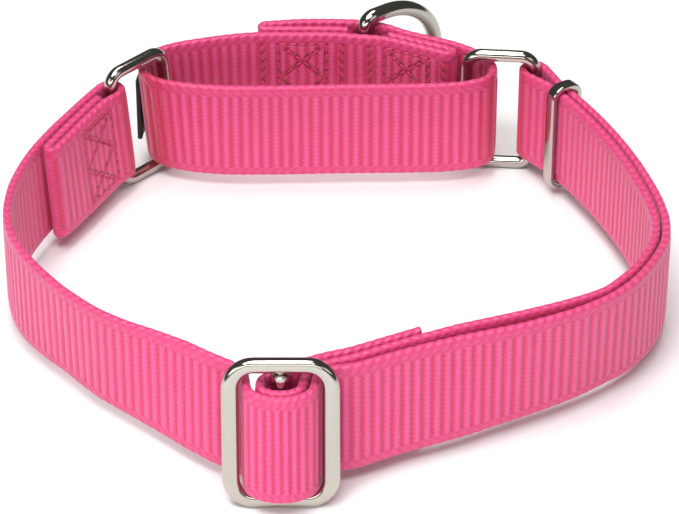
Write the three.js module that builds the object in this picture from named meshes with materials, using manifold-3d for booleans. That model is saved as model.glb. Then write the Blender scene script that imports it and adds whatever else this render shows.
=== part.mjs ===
// Martingale dog collar: an adjustable neck strap joined to a short control loop by two metal rings.
// Millimetres, +Z up. The collar stands on its metal fittings with the webbing on edge, open like a
// worn collar: the tri-glide is at the front (-Y), the control loop and leash ring at the back (+Y).
import * as THREE from "three";
import Module from "manifold-3d";
import { mergeVertices } from "three/addons/utils/BufferGeometryUtils.js";

const wasm = await Module();
wasm.setup();

// ---- Driving dimensions -------------------------------------------------------------------------
const WEB_WIDTH = 25.4; // one-inch webbing
const PLY = 2.0; // thickness of one ply
const PLY_GAP = 0.3; // air left between plies that lie on each other
const MID_Z = 16.8; // mid-height of the webbing above the surface
const PITCH = PLY + PLY_GAP; // centre to centre of two stacked plies

const RING_WIRE = 3.2;
const RING_LENGTH = 16.2; // between the centres of a ring's two upright bars
const RING_HEIGHT = 2 * MID_Z;
const RING_CORNER = 5.0; // outside corner radius

const D_WIRE = 3.8;
const D_BOW = 14.9; // radius of the round side, to the wire's centre
const D_STRAIGHT = 6.5; // from the straight bar to the centre of the bow
const D_REST_DEG = 35; // the ring lies over to the right of straight back

const GLIDE_WIDTH = 25.4;
const GLIDE_HEIGHT = 35.4;
const GLIDE_RAIL = 3.8; // width of the frame's upright bars
const GLIDE_CROSS_RAIL = 3.2; // and of its top and bottom bars
const GLIDE_THICK = 3.0;
const GLIDE_CORNER = 7.0;
const GLIDE_EASE = 0.7; // rounding of the bars' edges
const GLIDE_PIN_R = 1.35;
const GLIDE_RIVET_R = 0.75; // the pin's thin end, through the frame
const LEAN_DEG = 11; // the front of the collar leans back

const KEEPER_WALL = 1.5;
const KEEPER_BAND = 3.0; // along the strap
const KEEPER_INSIDE = [5.6, 26.0]; // across the doubled strap, and in height

const THREAD = 0.6; // thickness of a sewn seam standing on the webbing
const LABEL_THICK = 1.2;
const LABEL_HEIGHT = 17;
const LABEL_LENGTH = 22;

// ---- Places in plan ([x, y]) ---------------------------------------------------------------------
const LEFT_RING_STRAP_BAR = [-53.8, 50.6];
const LEFT_RING_DEG = 42; // from the strap's bar to the loop's bar
const RIGHT_RING_STRAP_BAR = [46.8, 59.3];
const RIGHT_RING_DEG = 175.4;
const D_BAR = [6.1, 77.0];
const GLIDE_PIN = [-12.5, -66.0];
const KEEPER_ARC = { centre: [-62.5, -24], radius: 137, ring: 33.5, front: 11.5 }; // doubled strap
const KEEPER_DEG = 32.2; // where on that arc the keeper sits

const rad = THREE.MathUtils.degToRad;

// ---- Materials -----------------------------------------------------------------------------------
const standard = (color, roughness, metalness) =>
  new THREE.MeshStandardMaterial({ color, roughness, metalness });
const webbing = () => standard(0xf0558a, 0.85, 0);
const thread = () => standard(0xe0407c, 0.7, 0);
const nickel = () => standard(0xc9c6bd, 0.22, 1);
const rubber = () => standard(0x141414, 0.6, 0);

// ---- Routes: the mid-line of a length of webbing, seen from above ---------------------------------
const v2 = ([x, y]) => new THREE.Vector2(x, y);

// A smooth line through hand-picked places.
function through(places, step = 2.4) {
  const curve = new THREE.CatmullRomCurve3(
    places.map(([x, y]) => new THREE.Vector3(x, y, 0)), false, "centripetal");
  const count = Math.max(2, Math.round(curve.getLength() / step));
  return curve.getSpacedPoints(count).map((p) => new THREE.Vector2(p.x, p.y));
}

// An arc from one angle to another, in degrees. The sign of the difference gives its direction.
function arc([cx, cy], radius, from, to, steps) {
  return Array.from({ length: steps + 1 }, (_, i) => {
    const a = rad(from + ((to - from) * i) / steps);
    return new THREE.Vector2(cx + radius * Math.cos(a), cy + radius * Math.sin(a));
  });
}

// Unit normal to the left of travel at each point of a line.
function normals(line) {
  return line.map((_, i) => {
    const a = line[Math.max(0, i - 1)];
    const b = line[Math.min(line.length - 1, i + 1)];
    const t = b.clone().sub(a).normalize();
    return new THREE.Vector2(-t.y, t.x);
  });
}

const shifted = (line, side) => {
  const n = normals(line);
  return line.map((p, i) => p.clone().addScaledVector(n[i], side));
};

// The stretch of a line between two distances along it.
function stretch(line, start, end) {
  const path = new THREE.CurvePath();
  line.slice(1).forEach((p, i) => path.add(new THREE.LineCurve(line[i], p)));
  const total = path.getLength();
  const steps = Math.max(1, Math.round((end - start) / 2));
  return Array.from({ length: steps + 1 }, (_, i) =>
    path.getPointAt((start + ((end - start) * i) / steps) / total));
}

// A ribbon standing on edge: the line thickened to both sides and raised between two heights.
function ribbon(line, side0, side1, z0, z1) {
  const outline = [...shifted(line, side0), ...shifted(line, side1).reverse()];
  const solid = new THREE.ExtrudeGeometry(new THREE.Shape(outline), {
    depth: z1 - z0, bevelEnabled: false,
  });
  solid.translate(0, 0, z0);
  return solid;
}

const web = (line) =>
  ribbon(line, PLY / 2, -PLY / 2, MID_Z - WEB_WIDTH / 2, MID_Z + WEB_WIDTH / 2);

// ---- How the webbing gives ------------------------------------------------------------------------
// The front of the neck strap leans back, most at the tri-glide.
const LEAN_LEFT = [-48, -29]; // x where the lean starts and where it is full
const LEAN_RIGHT = [46, -4];
function leanAt(x, y) {
  const ramp = ([none, full]) => THREE.MathUtils.clamp((x - none) / (full - none), 0, 1);
  return y < 0 ? Math.tan(rad(LEAN_DEG)) * Math.min(ramp(LEAN_LEFT), ramp(LEAN_RIGHT)) : 0;
}

// Webbing narrows a little where it passes a bar, so its edges clear the fitting's corners.
const PINCH = 0.06;
const BARS = [[LEFT_RING_STRAP_BAR, 5], [RIGHT_RING_STRAP_BAR, 5], [D_BAR, 5], [GLIDE_PIN, 9]];
function pinchAt(x, y) {
  const near = Math.min(...BARS.map(([[bx, by], reach]) => Math.hypot(x - bx, y - by) / reach));
  return 1 - PINCH * Math.exp(-(near ** 2));
}

function settle(geometry) {
  const place = geometry.getAttribute("position");
  for (let i = 0; i < place.count; i += 1) {
    const [x, y, z] = [place.getX(i), place.getY(i), place.getZ(i)];
    const height = (z - MID_Z) * pinchAt(x, y);
    place.setXYZ(i, x, y + height * leanAt(x, y), MID_Z + height);
  }
  geometry.computeVertexNormals();
  return geometry;
}

// ---- Neck strap ------------------------------------------------------------------------------------
const RING_WRAP = RING_WIRE / 2 + PLY_GAP + PLY / 2; // mid-ply radius round a ring's bar
const PIN_WRAP = GLIDE_PIN_R + PLY_GAP + PLY / 2;
const SEWN_DEG = 62.5; // heading of the sewn end as it meets the left ring
const SEWN_FROM = 5; // from the bar to where the plies meet
const SEWN_TO = 28.4; // and to where the sewn end turns under
const SEWN_UNDER = 4.5; // and back to its cut edge
const FOLD = PITCH / 2; // radius of a turned-under end, at mid-ply

const along = ([x, y], deg, far, side = 0) => [
  x + far * Math.cos(rad(deg)) - side * Math.sin(rad(deg)),
  y + far * Math.sin(rad(deg)) + side * Math.cos(rad(deg)),
];

// The sewn end lies on the inside of the strap with its last stretch turned under, then wraps the
// left ring's bar.
const besideBar = (far, ply) => along(LEFT_RING_STRAP_BAR, SEWN_DEG, -far, RING_WRAP - ply * PITCH);
const sewnEnd = [
  ...[besideBar(SEWN_UNDER, 1), besideBar(SEWN_TO - 0.8, 1)].map(v2),
  ...arc(besideBar(SEWN_TO, 1.5), FOLD, SEWN_DEG + 90, SEWN_DEG + 270, 6),
  ...[besideBar(SEWN_TO - 0.8, 2), besideBar(SEWN_FROM, 2)].map(v2),
];
const leftWrap = arc(LEFT_RING_STRAP_BAR, RING_WRAP, SEWN_DEG - 90, SEWN_DEG + 90, 10);

// Down the left side and round to the tri-glide's left slot.
const leftRun = through([
  besideBar(SEWN_FROM, 0), besideBar(SEWN_TO, 0),
  [-72.6, 18.5], [-74.9, 9], [-75.3, 0], [-74, -7.5], [-71.2, -14.5], [-66.6, -21.6],
  [-60.4, -29], [-53.3, -36.7], [-46.4, -42.2], [-39.6, -47], [-33, -52], [-27, -56.6],
  [-22.6, -59.7], [-20.4, -62.1],
]);

// Over the front of the pin, as half an ellipse.
const hump = Array.from({ length: 9 }, (_, i) => {
  const a = rad(10 + 20 * i);
  const rise = PIN_WRAP + PITCH;
  return new THREE.Vector2(GLIDE_PIN[0] - 6.9 * Math.cos(a), GLIDE_PIN[1] - rise * Math.sin(a));
});

// Out of the right slot and along the front as the outer ply.
const rightOuterRun = through([
  [-5.1, -62.9], [-3.4, -61.2], [0, -60], [3.2, -59.1], [13.6, -54.2], [25.9, -49.1],
  [36, -44.9], [41.2, -42.6], [51.7, -37.1], [59.6, -31.5], [64.1, -27.4], [67.9, -22.3],
  [71.6, -15.2], [73.3, -9.2], [73.7, -2.5],
]);
const doubledArc = arc(KEEPER_ARC.centre, KEEPER_ARC.radius, KEEPER_ARC.front, KEEPER_ARC.ring, 16);
const doubledOuter = shifted(doubledArc, -PITCH / 2);
const doubledInner = shifted(doubledArc, PITCH / 2).reverse();
const ringHeading = KEEPER_ARC.ring + 90;
const rightWrap = arc(RIGHT_RING_STRAP_BAR, RING_WRAP, ringHeading - 90, ringHeading + 90, 10);

// Back along the front as the inner ply, standing off a little, to the pin.
const rightInnerRun = through([
  [71.4, -3], [71, -8.4], [69.4, -14], [65.9, -20.8], [62.3, -25.3], [58.2, -29.3],
  [50.2, -34], [39.6, -38.9], [30.4, -43], [21.4, -47], [12.4, -51.2], [3.2, -55.9],
  [-2.6, -58.3], [-6.6, -60.5], [-9, -63],
]);
const pinWrap = arc(GLIDE_PIN, PIN_WRAP, 10, -190, 12);
const TURNED = { start: [2.2, -53.7], deg: 26.5, length: 17 }; // the end's straight, sewn stretch
const turnedEnd = through([
  [-14.7, -63], [-12.2, -60.4], [-8, -58.1], [-3.6, -56.1], TURNED.start,
  along(TURNED.start, TURNED.deg, TURNED.length / 2), along(TURNED.start, TURNED.deg, TURNED.length),
]);

const neckLine = [
  ...sewnEnd, ...leftWrap, ...leftRun, ...hump, ...rightOuterRun, ...doubledOuter, ...rightWrap,
  ...doubledInner, ...rightInnerRun, ...pinWrap, ...turnedEnd,
];

// ---- Control loop ------------------------------------------------------------------------------------
// One length: its outer end is turned under left of the leash ring, runs over the ring's bar to the
// right fold, along the front to the left fold and back under the outer end, where it is turned too.
const BOX_1 = { start: [-19, 74.4], deg: 0, length: 18 };
const BOX_2 = { start: [10.2, 72.9], deg: -24, length: 17.5 };
const stack = (box, far, ply) => along(box.start, box.deg, far, ply * PITCH);

const loopLine = [
  ...[stack(BOX_1, 21, 1.2), stack(BOX_1, 1.5, 1.2)].map(v2),
  ...arc(stack(BOX_1, 0.6, 1.7), FOLD, 270, 90, 6),
  ...through([
    stack(BOX_1, 2, 2.2), [-9.7, 80.3], [-1, 80.4], [6.4, 80.3], [11.4, 78.4],
    stack(BOX_2, 4, 2), stack(BOX_2, 17.5, 2), [33.6, 66], [36.3, 62.4], [37, 58.4],
    [35.3, 54.9], [31.4, 53], [25.4, 51.9], [14.5, 51.4], [2.5, 51.2], [-9.5, 50.8],
    [-19, 50.6], [-29.4, 50.8], [-38.6, 52.5], [-44, 54.9], [-46.7, 59], [-46, 63.4],
    [-43.2, 67.2], [-38.8, 69.8], [-33.4, 71.6], [-26.5, 73.4], stack(BOX_1, 0, 0),
    [-9, 74.4], stack(BOX_1, BOX_1.length, 0), [6.4, 73.7], stack(BOX_2, 0, 0),
    stack(BOX_2, BOX_2.length - 1.5, 0),
  ]),
  ...arc(stack(BOX_2, BOX_2.length, 0.5), FOLD, BOX_2.deg - 90, BOX_2.deg + 90, 6),
  ...[stack(BOX_2, BOX_2.length - 1.5, 1), stack(BOX_2, 1, 1)].map(v2),
];

// ---- Label -------------------------------------------------------------------------------------------
// A plain soft rubber label on the outside of the loop, round the back of its left fold.
const labelLine = through([
  [-46.7, 59], [-46, 63.4], [-43.2, 67.2], [-38.8, 69.8], [-33.4, 71.6], [-26.5, 73.4],
], 1.6);

function labelSolid() {
  const line = stretch(labelLine, 0, LABEL_LENGTH);
  const near = PLY / 2 + PLY_GAP;
  return ribbon(line, near + LABEL_THICK, near, MID_Z - LABEL_HEIGHT / 2, MID_Z + LABEL_HEIGHT / 2);
}

// ---- Seams ---------------------------------------------------------------------------------------------
const SEAM_WIDTH = 0.8;
const SEAM_HEIGHT = 20; // leaves the selvedges free

const stood = (outline) =>
  new THREE.ExtrudeGeometry(outline, { depth: THREAD, bevelEnabled: false }).rotateX(Math.PI / 2);

// A box seam: a rectangle of thread with a cross inside it, in the x-z plane, thread towards -Y.
function boxSeam(length, height) {
  const corners = [[0, 0], [length, 0], [length, height], [0, height]].map(v2);
  const outline = new THREE.Shape(corners);
  const middle = new THREE.Vector2(length / 2, height / 2);
  corners.forEach((corner, i) => {
    const next = corners[(i + 1) % corners.length];
    const unit = next.clone().sub(corner).normalize();
    const inward = new THREE.Vector2(-unit.y, unit.x);
    const from = (point, onward, inside) =>
      point.clone().addScaledVector(unit, onward * SEAM_WIDTH).addScaledVector(inward, inside * SEAM_WIDTH);
    outline.holes.push(new THREE.Path([from(corner, 2.6, 1), from(middle, 0, -1.6), from(next, -2.6, 1)]));
  });
  return stood(outline);
}

// A single upright line of thread.
const tackSeam = (height) =>
  stood(new THREE.Shape([[0, 0], [SEAM_WIDTH, 0], [SEAM_WIDTH, height], [0, height]].map(v2)));

// Puts a seam on the near face of a straight stretch of webbing.
function onFace(solid, [x, y], deg, height = SEAM_HEIGHT) {
  solid.translate(0, -(PLY / 2 + PLY_GAP), MID_Z - height / 2);
  solid.rotateZ(rad(deg));
  solid.translate(x, y, 0);
  return settle(solid);
}

// ---- Metal fittings --------------------------------------------------------------------------------------
function roundedRect(width, height, radius, Kind = THREE.Shape) {
  const [w, h] = [width / 2, height / 2];
  const path = new Kind();
  path.moveTo(-w + radius, -h);
  path.lineTo(w - radius, -h);
  path.absarc(w - radius, -h + radius, radius, -Math.PI / 2, 0);
  path.lineTo(w, h - radius);
  path.absarc(w - radius, h - radius, radius, 0, Math.PI / 2);
  path.lineTo(-w + radius, h);
  path.absarc(-w + radius, h - radius, radius, Math.PI / 2, Math.PI);
  path.lineTo(-w, -h + radius);
  path.absarc(-w + radius, -h + radius, radius, Math.PI, 1.5 * Math.PI);
  return path;
}

// A frame of round-cornered bar: outer and inner outline, thick in +-Y, standing in the x-z plane.
function frameSolid(outline, thick, ease) {
  const solid = new THREE.ExtrudeGeometry(outline, {
    depth: thick - 2 * ease, bevelThickness: ease, bevelSize: ease, bevelSegments: 2, curveSegments: 6,
  });
  solid.translate(0, 0, -(thick - 2 * ease) / 2);
  solid.rotateX(Math.PI / 2);
  return solid;
}

const EASE = 0.31 * RING_WIRE; // how far the wire's section is rounded
function ringSolid() {
  const width = RING_LENGTH + RING_WIRE - 2 * EASE;
  const height = RING_HEIGHT - 2 * EASE;
  const bar = RING_WIRE - 2 * EASE;
  const outline = roundedRect(width, height, RING_CORNER - EASE);
  outline.holes.push(roundedRect(width - 2 * bar, height - 2 * bar, RING_CORNER - EASE - bar, THREE.Path));
  return frameSolid(outline, RING_WIRE, EASE);
}

// D shape with its straight bar on x = 0 and its bow towards +X.
function dOutline(grow, Kind = THREE.Shape) {
  const r = D_BOW + grow;
  const corner = 3 + grow;
  const path = new Kind();
  path.moveTo(D_STRAIGHT, -r);
  path.absarc(D_STRAIGHT, 0, r, -Math.PI / 2, Math.PI / 2);
  path.lineTo(corner - grow, r);
  path.absarc(corner - grow, r - corner, corner, Math.PI / 2, Math.PI);
  path.lineTo(-grow, -r + corner);
  path.absarc(corner - grow, -r + corner, corner, Math.PI, 1.5 * Math.PI);
  return path;
}

function dRingSolid() {
  const ease = 0.31 * D_WIRE;
  const half = D_WIRE / 2 - ease;
  const outline = dOutline(half);
  outline.holes.push(dOutline(-half, THREE.Path));
  return frameSolid(outline, D_WIRE, ease);
}

function keeperSolid() {
  const [across, height] = KEEPER_INSIDE;
  const ease = 0.4;
  const outline = roundedRect(across + 2 * KEEPER_WALL - 2 * ease, height + 2 * KEEPER_WALL - 2 * ease, 3.2);
  outline.holes.push(roundedRect(across + 2 * ease, height + 2 * ease, 1.6, THREE.Path));
  return frameSolid(outline, KEEPER_BAND, ease);
}

// ---- Boolean cuts --------------------------------------------------------------------------------------
function toManifold(geometry) {
  const bare = geometry.clone();
  bare.deleteAttribute("normal");
  bare.deleteAttribute("uv");
  const merged = mergeVertices(bare.index ? bare.toNonIndexed() : bare, 1e-4);
  return new wasm.Manifold(new wasm.Mesh({
    numProp: 3,
    vertProperties: new Float32Array(merged.getAttribute("position").array),
    triVerts: new Uint32Array(merged.getIndex().array),
  }));
}

function fromManifold(solid) {
  const { vertProperties, triVerts } = solid.getMesh();
  const geometry = new THREE.BufferGeometry();
  geometry.setAttribute("position", new THREE.BufferAttribute(vertProperties, 3));
  geometry.setIndex(new THREE.BufferAttribute(triVerts, 1));
  geometry.computeVertexNormals();
  return geometry;
}

// The tri-glide's frame, drilled top and bottom for the riveted pin.
function glideFrameSolid() {
  const ease = GLIDE_EASE;
  const outline = roundedRect(GLIDE_WIDTH - 2 * ease, GLIDE_HEIGHT - 2 * ease, GLIDE_CORNER - ease);
  const inside = [GLIDE_WIDTH - 2 * GLIDE_RAIL + 2 * ease, GLIDE_HEIGHT - 2 * GLIDE_CROSS_RAIL + 2 * ease];
  outline.holes.push(roundedRect(...inside, GLIDE_CORNER - GLIDE_RAIL + ease, THREE.Path));
  const drill = new THREE.CylinderGeometry(
    GLIDE_RIVET_R + PLY_GAP, GLIDE_RIVET_R + PLY_GAP, GLIDE_HEIGHT + 4, 16);
  drill.rotateX(Math.PI / 2);
  return fromManifold(toManifold(frameSolid(outline, GLIDE_THICK, ease)).subtract(toManifold(drill)));
}

// The pin: a plain bar with a collar at each end and thin rivet ends through the frame.
function glidePinSolid() {
  const inside = GLIDE_HEIGHT / 2 - GLIDE_CROSS_RAIL - PLY_GAP;
  const profile = [
    [0, -GLIDE_HEIGHT / 2 + 0.2], [GLIDE_RIVET_R, -GLIDE_HEIGHT / 2 + 0.2], [GLIDE_RIVET_R, -inside],
    [GLIDE_PIN_R, -inside], [GLIDE_PIN_R, inside - 1.4], [GLIDE_PIN_R + 0.5, inside - 1.1],
    [GLIDE_PIN_R + 0.5, inside], [GLIDE_RIVET_R, inside], [GLIDE_RIVET_R, GLIDE_HEIGHT / 2 - 0.2],
    [0, GLIDE_HEIGHT / 2 - 0.2],
  ];
  const solid = new THREE.LatheGeometry(profile.map(v2), 20);
  solid.rotateX(Math.PI / 2);
  return solid;
}

// ---- Assembly --------------------------------------------------------------------------------------------
const collar = new THREE.Group();

function piece(name, geometry, material, parent = collar) {
  const mesh = new THREE.Mesh(geometry, material);
  mesh.name = name;
  parent.add(mesh);
  return mesh;
}

piece("neck_strap", settle(web(neckLine)), webbing());
const sewnSeam = [besideBar(17.6, 2), SEWN_DEG];
piece("strap_end_seam", onFace(boxSeam(12.5, SEAM_HEIGHT), ...sewnSeam), thread());
const turnedSeam = along(TURNED.start, TURNED.deg, TURNED.length - 1.5);
const turnedLength = TURNED.length - 3;
piece("glide_end_seam", onFace(boxSeam(turnedLength, SEAM_HEIGHT), turnedSeam, TURNED.deg + 180), thread());

piece("control_loop", settle(web(loopLine)), webbing());
[
  ["loop_box_left", BOX_1, 4.2, 11.6],
  ["loop_box_right", BOX_2, 0.6, 13],
].forEach(([name, run, far, length]) => {
  piece(name, onFace(boxSeam(length, SEAM_HEIGHT), along(run.start, run.deg, far), run.deg), thread());
});
[
  ["loop_end_tack", BOX_1, 1.2],
  ["d_ring_tack", BOX_1, 18],
  ["loop_turn_tack", BOX_2, 16],
].forEach(([name, run, far]) => {
  piece(name, onFace(tackSeam(SEAM_HEIGHT), along(run.start, run.deg, far), run.deg), thread());
});
const labelSeam = [-32, 71.9]; // on the loop's inner face, at the label's far edge
piece("label_seam", onFace(tackSeam(LABEL_HEIGHT), labelSeam, 14.5, LABEL_HEIGHT), thread());
piece("label", labelSolid(), rubber());

function ringAt(name, [x, y], deg) {
  const ring = piece(name, ringSolid(), nickel());
  ring.geometry.translate(RING_LENGTH / 2, 0, 0);
  ring.position.set(x, y, RING_HEIGHT / 2);
  ring.rotation.z = rad(deg);
}
ringAt("left_ring", LEFT_RING_STRAP_BAR, LEFT_RING_DEG);
ringAt("right_ring", RIGHT_RING_STRAP_BAR, RIGHT_RING_DEG);

const dRing = piece("d_ring", dRingSolid(), nickel());
dRing.position.set(...D_BAR, MID_Z);
dRing.rotation.z = rad(D_REST_DEG);

const keeper = piece("keeper", keeperSolid(), nickel());
keeper.position.set(...along(KEEPER_ARC.centre, KEEPER_DEG, KEEPER_ARC.radius), MID_Z);
keeper.rotation.z = rad(KEEPER_DEG);

const glide = new THREE.Group();
const glideLift = (GLIDE_HEIGHT / 2) * Math.cos(rad(LEAN_DEG))
  + (GLIDE_THICK / 2 - GLIDE_EASE) * Math.sin(rad(LEAN_DEG));
glide.position.set(GLIDE_PIN[0], GLIDE_PIN[1] + (glideLift - MID_Z) * Math.tan(rad(LEAN_DEG)), glideLift);
glide.rotation.x = -rad(LEAN_DEG);
collar.add(glide);
piece("tri_glide_frame", glideFrameSolid(), nickel(), glide);
piece("tri_glide_pin", glidePinSolid(), nickel(), glide);

// The origin is the middle of the collar's base.
collar.updateMatrixWorld(true);
const bounds = new THREE.Box3().setFromObject(collar, true);
const centre = bounds.getCenter(new THREE.Vector3());
collar.position.set(-centre.x, -centre.y, -bounds.min.z);

const part = new THREE.Group();
part.add(collar);

export default part;
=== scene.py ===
import math

import bpy
import numpy as np
from mathutils import Matrix, Vector


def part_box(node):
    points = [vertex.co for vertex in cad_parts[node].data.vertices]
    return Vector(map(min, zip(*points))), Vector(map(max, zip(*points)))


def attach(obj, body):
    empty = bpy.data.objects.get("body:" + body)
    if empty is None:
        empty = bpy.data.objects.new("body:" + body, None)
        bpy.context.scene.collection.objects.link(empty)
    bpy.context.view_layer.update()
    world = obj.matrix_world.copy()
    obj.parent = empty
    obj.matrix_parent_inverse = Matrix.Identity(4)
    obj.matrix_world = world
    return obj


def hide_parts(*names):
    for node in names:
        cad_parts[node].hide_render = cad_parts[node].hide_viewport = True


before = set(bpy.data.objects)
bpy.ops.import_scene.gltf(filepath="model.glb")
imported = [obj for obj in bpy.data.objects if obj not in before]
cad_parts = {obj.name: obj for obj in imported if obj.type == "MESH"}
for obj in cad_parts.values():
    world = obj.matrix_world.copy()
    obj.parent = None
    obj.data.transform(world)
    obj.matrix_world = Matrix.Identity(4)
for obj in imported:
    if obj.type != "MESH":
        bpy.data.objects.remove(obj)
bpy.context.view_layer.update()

# ---- Standing the collar up --------------------------------------------------------------------------
# The collar stands open on its metal fittings, its webbing on edge. Lengths below are millimetres in the
# collar's own plan. The keeper has one known place on the strap, and ties that plan to the frame.
MM = 0.001
KEEPER_ARC = (-62.5, -24.0)  # centre of the curve that the doubled strap follows
KEEPER_RADIUS = 137.0
KEEPER_TURN = 32.2  # the keeper's place on that curve, in degrees


def on_arc(centre, radius, degrees):
    a = math.radians(degrees)
    return Vector((centre[0] + radius * math.cos(a), centre[1] + radius * math.sin(a)))


keeper_low, keeper_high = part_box("keeper")
keeper_middle = (keeper_low + keeper_high) / 2 / MM
plan_shift = keeper_middle.xy - on_arc(KEEPER_ARC, KEEPER_RADIUS, KEEPER_TURN)
MID_Z = keeper_middle.z  # mid-height of the webbing


def in_frame(x, y, z):
    return Vector((x + plan_shift.x, y + plan_shift.y, z)) * MM


# ---- Camera ------------------------------------------------------------------------------------------
# A long lens a little above the collar, looking from the tri-glide's side to the leash ring's.
VIEW_DOWN = math.radians(36)
VIEW_FAR = 800
look_at = in_frame(0, 0, 16)
back_off = Vector((0, -math.cos(VIEW_DOWN), math.sin(VIEW_DOWN))) * VIEW_FAR * MM
bpy.ops.object.camera_add(location=look_at + back_off, rotation=(math.pi / 2 - VIEW_DOWN, 0, 0))
camera = bpy.context.object
camera.data.lens = 185.6
camera.data.sensor_width = 36
camera.data.clip_start = 0.05
bpy.context.scene.camera = camera


# ---- Floor and lights --------------------------------------------------------------------------------
# A pale table top. Two wide soft boxes light it from overhead and high in front, and three small ones
# low down give the metal something to reflect.
def new_material(name):
    material = bpy.data.materials.new(name)
    material.use_nodes = True
    return material, material.node_tree.nodes, material.node_tree.links


bpy.ops.mesh.primitive_plane_add(size=6, location=(0, 0, 0))
floor = bpy.context.object
floor.name = "floor"
floor_paint, nodes, links = new_material("floor_paint")
nodes["Principled BSDF"].inputs["Base Color"].default_value = (0.93, 0.93, 0.93, 1)
nodes["Principled BSDF"].inputs["Roughness"].default_value = 0.9
floor.data.materials.append(floor_paint)


def soft_box(name, place, size, power):
    bpy.ops.object.light_add(type="AREA", location=place)
    light = bpy.context.object
    light.name = name
    light.data.shape = "RECTANGLE"
    light.data.size, light.data.size_y = size
    light.data.energy = power
    light.rotation_euler = (-Vector(place)).to_track_quat("-Z", "Y").to_euler()


soft_box("overhead_light", (-0.15, 0.1, 1.3), (1.2, 0.5), 12.2)
soft_box("high_front_light", (-0.1, -0.6, 1.15), (0.9, 0.35), 10.8)
soft_box("left_light", (-0.62, -0.55, 0.4), (0.5, 0.35), 0.9)
soft_box("right_light", (0.6, -0.6, 0.42), (0.45, 0.35), 0.6)
soft_box("front_light", (-0.09, -0.36, 0.13), (0.4, 0.08), 0.36)

world = bpy.data.worlds.new("studio")
world.use_nodes = True
world.node_tree.nodes["Background"].inputs["Color"].default_value = (1, 1, 1, 1)
world.node_tree.nodes["Background"].inputs["Strength"].default_value = 0.08
bpy.context.scene.world = world
bpy.context.scene.view_settings.view_transform = "Standard"

# ---- Neck strap --------------------------------------------------------------------------------------
# One length of one-inch nylon webbing, woven with heavy ribs across it and braided edges. Its left end
# is folded round the left ring and sewn. The other goes through glide, keeper and right ring, and back.
WEB_WIDTH = 25.4
RIB = 2.4  # from one rib to the next
STEP = RIB / 6  # mesh step along the webbing
PITCH = 2.3  # centre to centre of two plies that lie together
EDGE_BRAID = 2.7  # width of the braided edge
HALF_PLY = 1.0  # also the radius of the rounded edge


def spline(places, step=0.5):
    """A smooth line through listed places."""
    p = [Vector(q[:2]) for q in places]
    p = [2 * p[0] - p[1], *p, 2 * p[-1] - p[-2]]
    line = []
    for a, b, c, d in zip(p, p[1:], p[2:], p[3:]):
        t1 = (b - a).length ** 0.5
        t2 = t1 + (c - b).length ** 0.5
        t3 = t2 + (d - c).length ** 0.5
        steps = max(2, round((c - b).length / step))
        for i in range(steps):
            t = t1 + (t2 - t1) * i / steps
            ab = a.lerp(b, t / t1)
            bc = b.lerp(c, (t - t1) / (t2 - t1))
            cd = c.lerp(d, (t - t2) / (t3 - t2))
            abc, bcd = ab.lerp(bc, t / t2), bc.lerp(cd, (t - t1) / (t3 - t1))
            line.append(abc.lerp(bcd, (t - t1) / (t2 - t1)))
    return [*line, p[-2]]


def bend(centre, radius, start, end, step=0.4):
    """An arc from one angle to another, in degrees."""
    steps = max(4, round(abs(math.radians(end - start)) * radius / step))
    return [on_arc(centre, radius, start + (end - start) * i / steps) for i in range(steps + 1)]


def along(place, degrees, far, side=0.0):
    """The place a distance along a heading, and to the left of it."""
    c, s = math.cos(math.radians(degrees)), math.sin(math.radians(degrees))
    return Vector((place[0] + far * c - side * s, place[1] + far * s + side * c))


def even(line, crowding=()):
    """The same line in equal steps of weave, a whole number of ribs long, with its joins eased.

    crowding holds (place, extra, reach): where the webbing is squeezed, its ribs crowd together.
    """
    p = np.array(line, float)
    for _ in range(2):
        gaps = np.linalg.norm(np.diff(p, axis=0), axis=1)
        middles = (p[1:] + p[:-1]) / 2
        for place, extra, reach in crowding:
            gaps = gaps * (1 + extra * np.exp(-(np.linalg.norm(middles - place, axis=1) / reach) ** 4))
        far = np.concatenate([[0], np.cumsum(gaps)])
        count = round(far[-1] / RIB) * round(RIB / STEP)
        at = np.linspace(0, far[-1], count + 1)
        p = np.stack([np.interp(at, far, p[:, 0]), np.interp(at, far, p[:, 1])], 1)
        for _ in range(6):
            p[1:-1] = (p[:-2] + 2 * p[1:-1] + p[2:]) / 4
    return p


def left_of(p):
    """Unit normals to the left of travel."""
    t = np.gradient(p, axis=0)
    t /= np.linalg.norm(t, axis=1, keepdims=True)
    return np.stack([-t[:, 1], t[:, 0]], 1)


def waviness(s, z):
    """A slow unevenness of the weave, from a few sines."""
    waves = ((0.31, 0.17), (0.73, -0.41), (1.37, 0.93), (2.3, -1.9))
    return sum(np.sin(s * a + z * b + 1.7 * i) / (i + 1) for i, (a, b) in enumerate(waves)) / 2


# Columns across the webbing: one face, the top edge, the other face, the bottom edge.
FLAT = WEB_WIDTH / 2 - HALF_PLY
EDGE_Z = [9.45, 9.9, 10.35, 10.8, 11.25, FLAT]
FACE_Z = [-z for z in reversed(EDGE_Z)] + [-6.3, -3.15, 0, 3.15, 6.3] + EDGE_Z
CAP_TURNS = [30, 60, 90, 120, 150]
GROOVE_HALF, RIB_RISE = 0.80, 0.30  # half-thickness in a groove, and what a rib adds to it
BRAID_HALF, BRAID_RISE = 0.94, 0.07


def face_height(s, z):
    """Half-thickness of the webbing: ribs across it and slanting stitches along its braided edges."""
    x = 2 * np.mod(s / RIB + 0.03 * waviness(s, z), 1) - 1
    rib = GROOVE_HALF + RIB_RISE * np.clip(np.cos(x * math.pi / 2), 0, 1) ** 0.8
    edge = np.clip((np.abs(z) - (WEB_WIDTH / 2 - EDGE_BRAID)) / 0.5, 0, 1)
    braid = BRAID_HALF + BRAID_RISE * np.cos(2 * np.pi * (s / RIB + 0.4 * np.abs(z)))
    return rib * (1 - edge) + braid * edge


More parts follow.
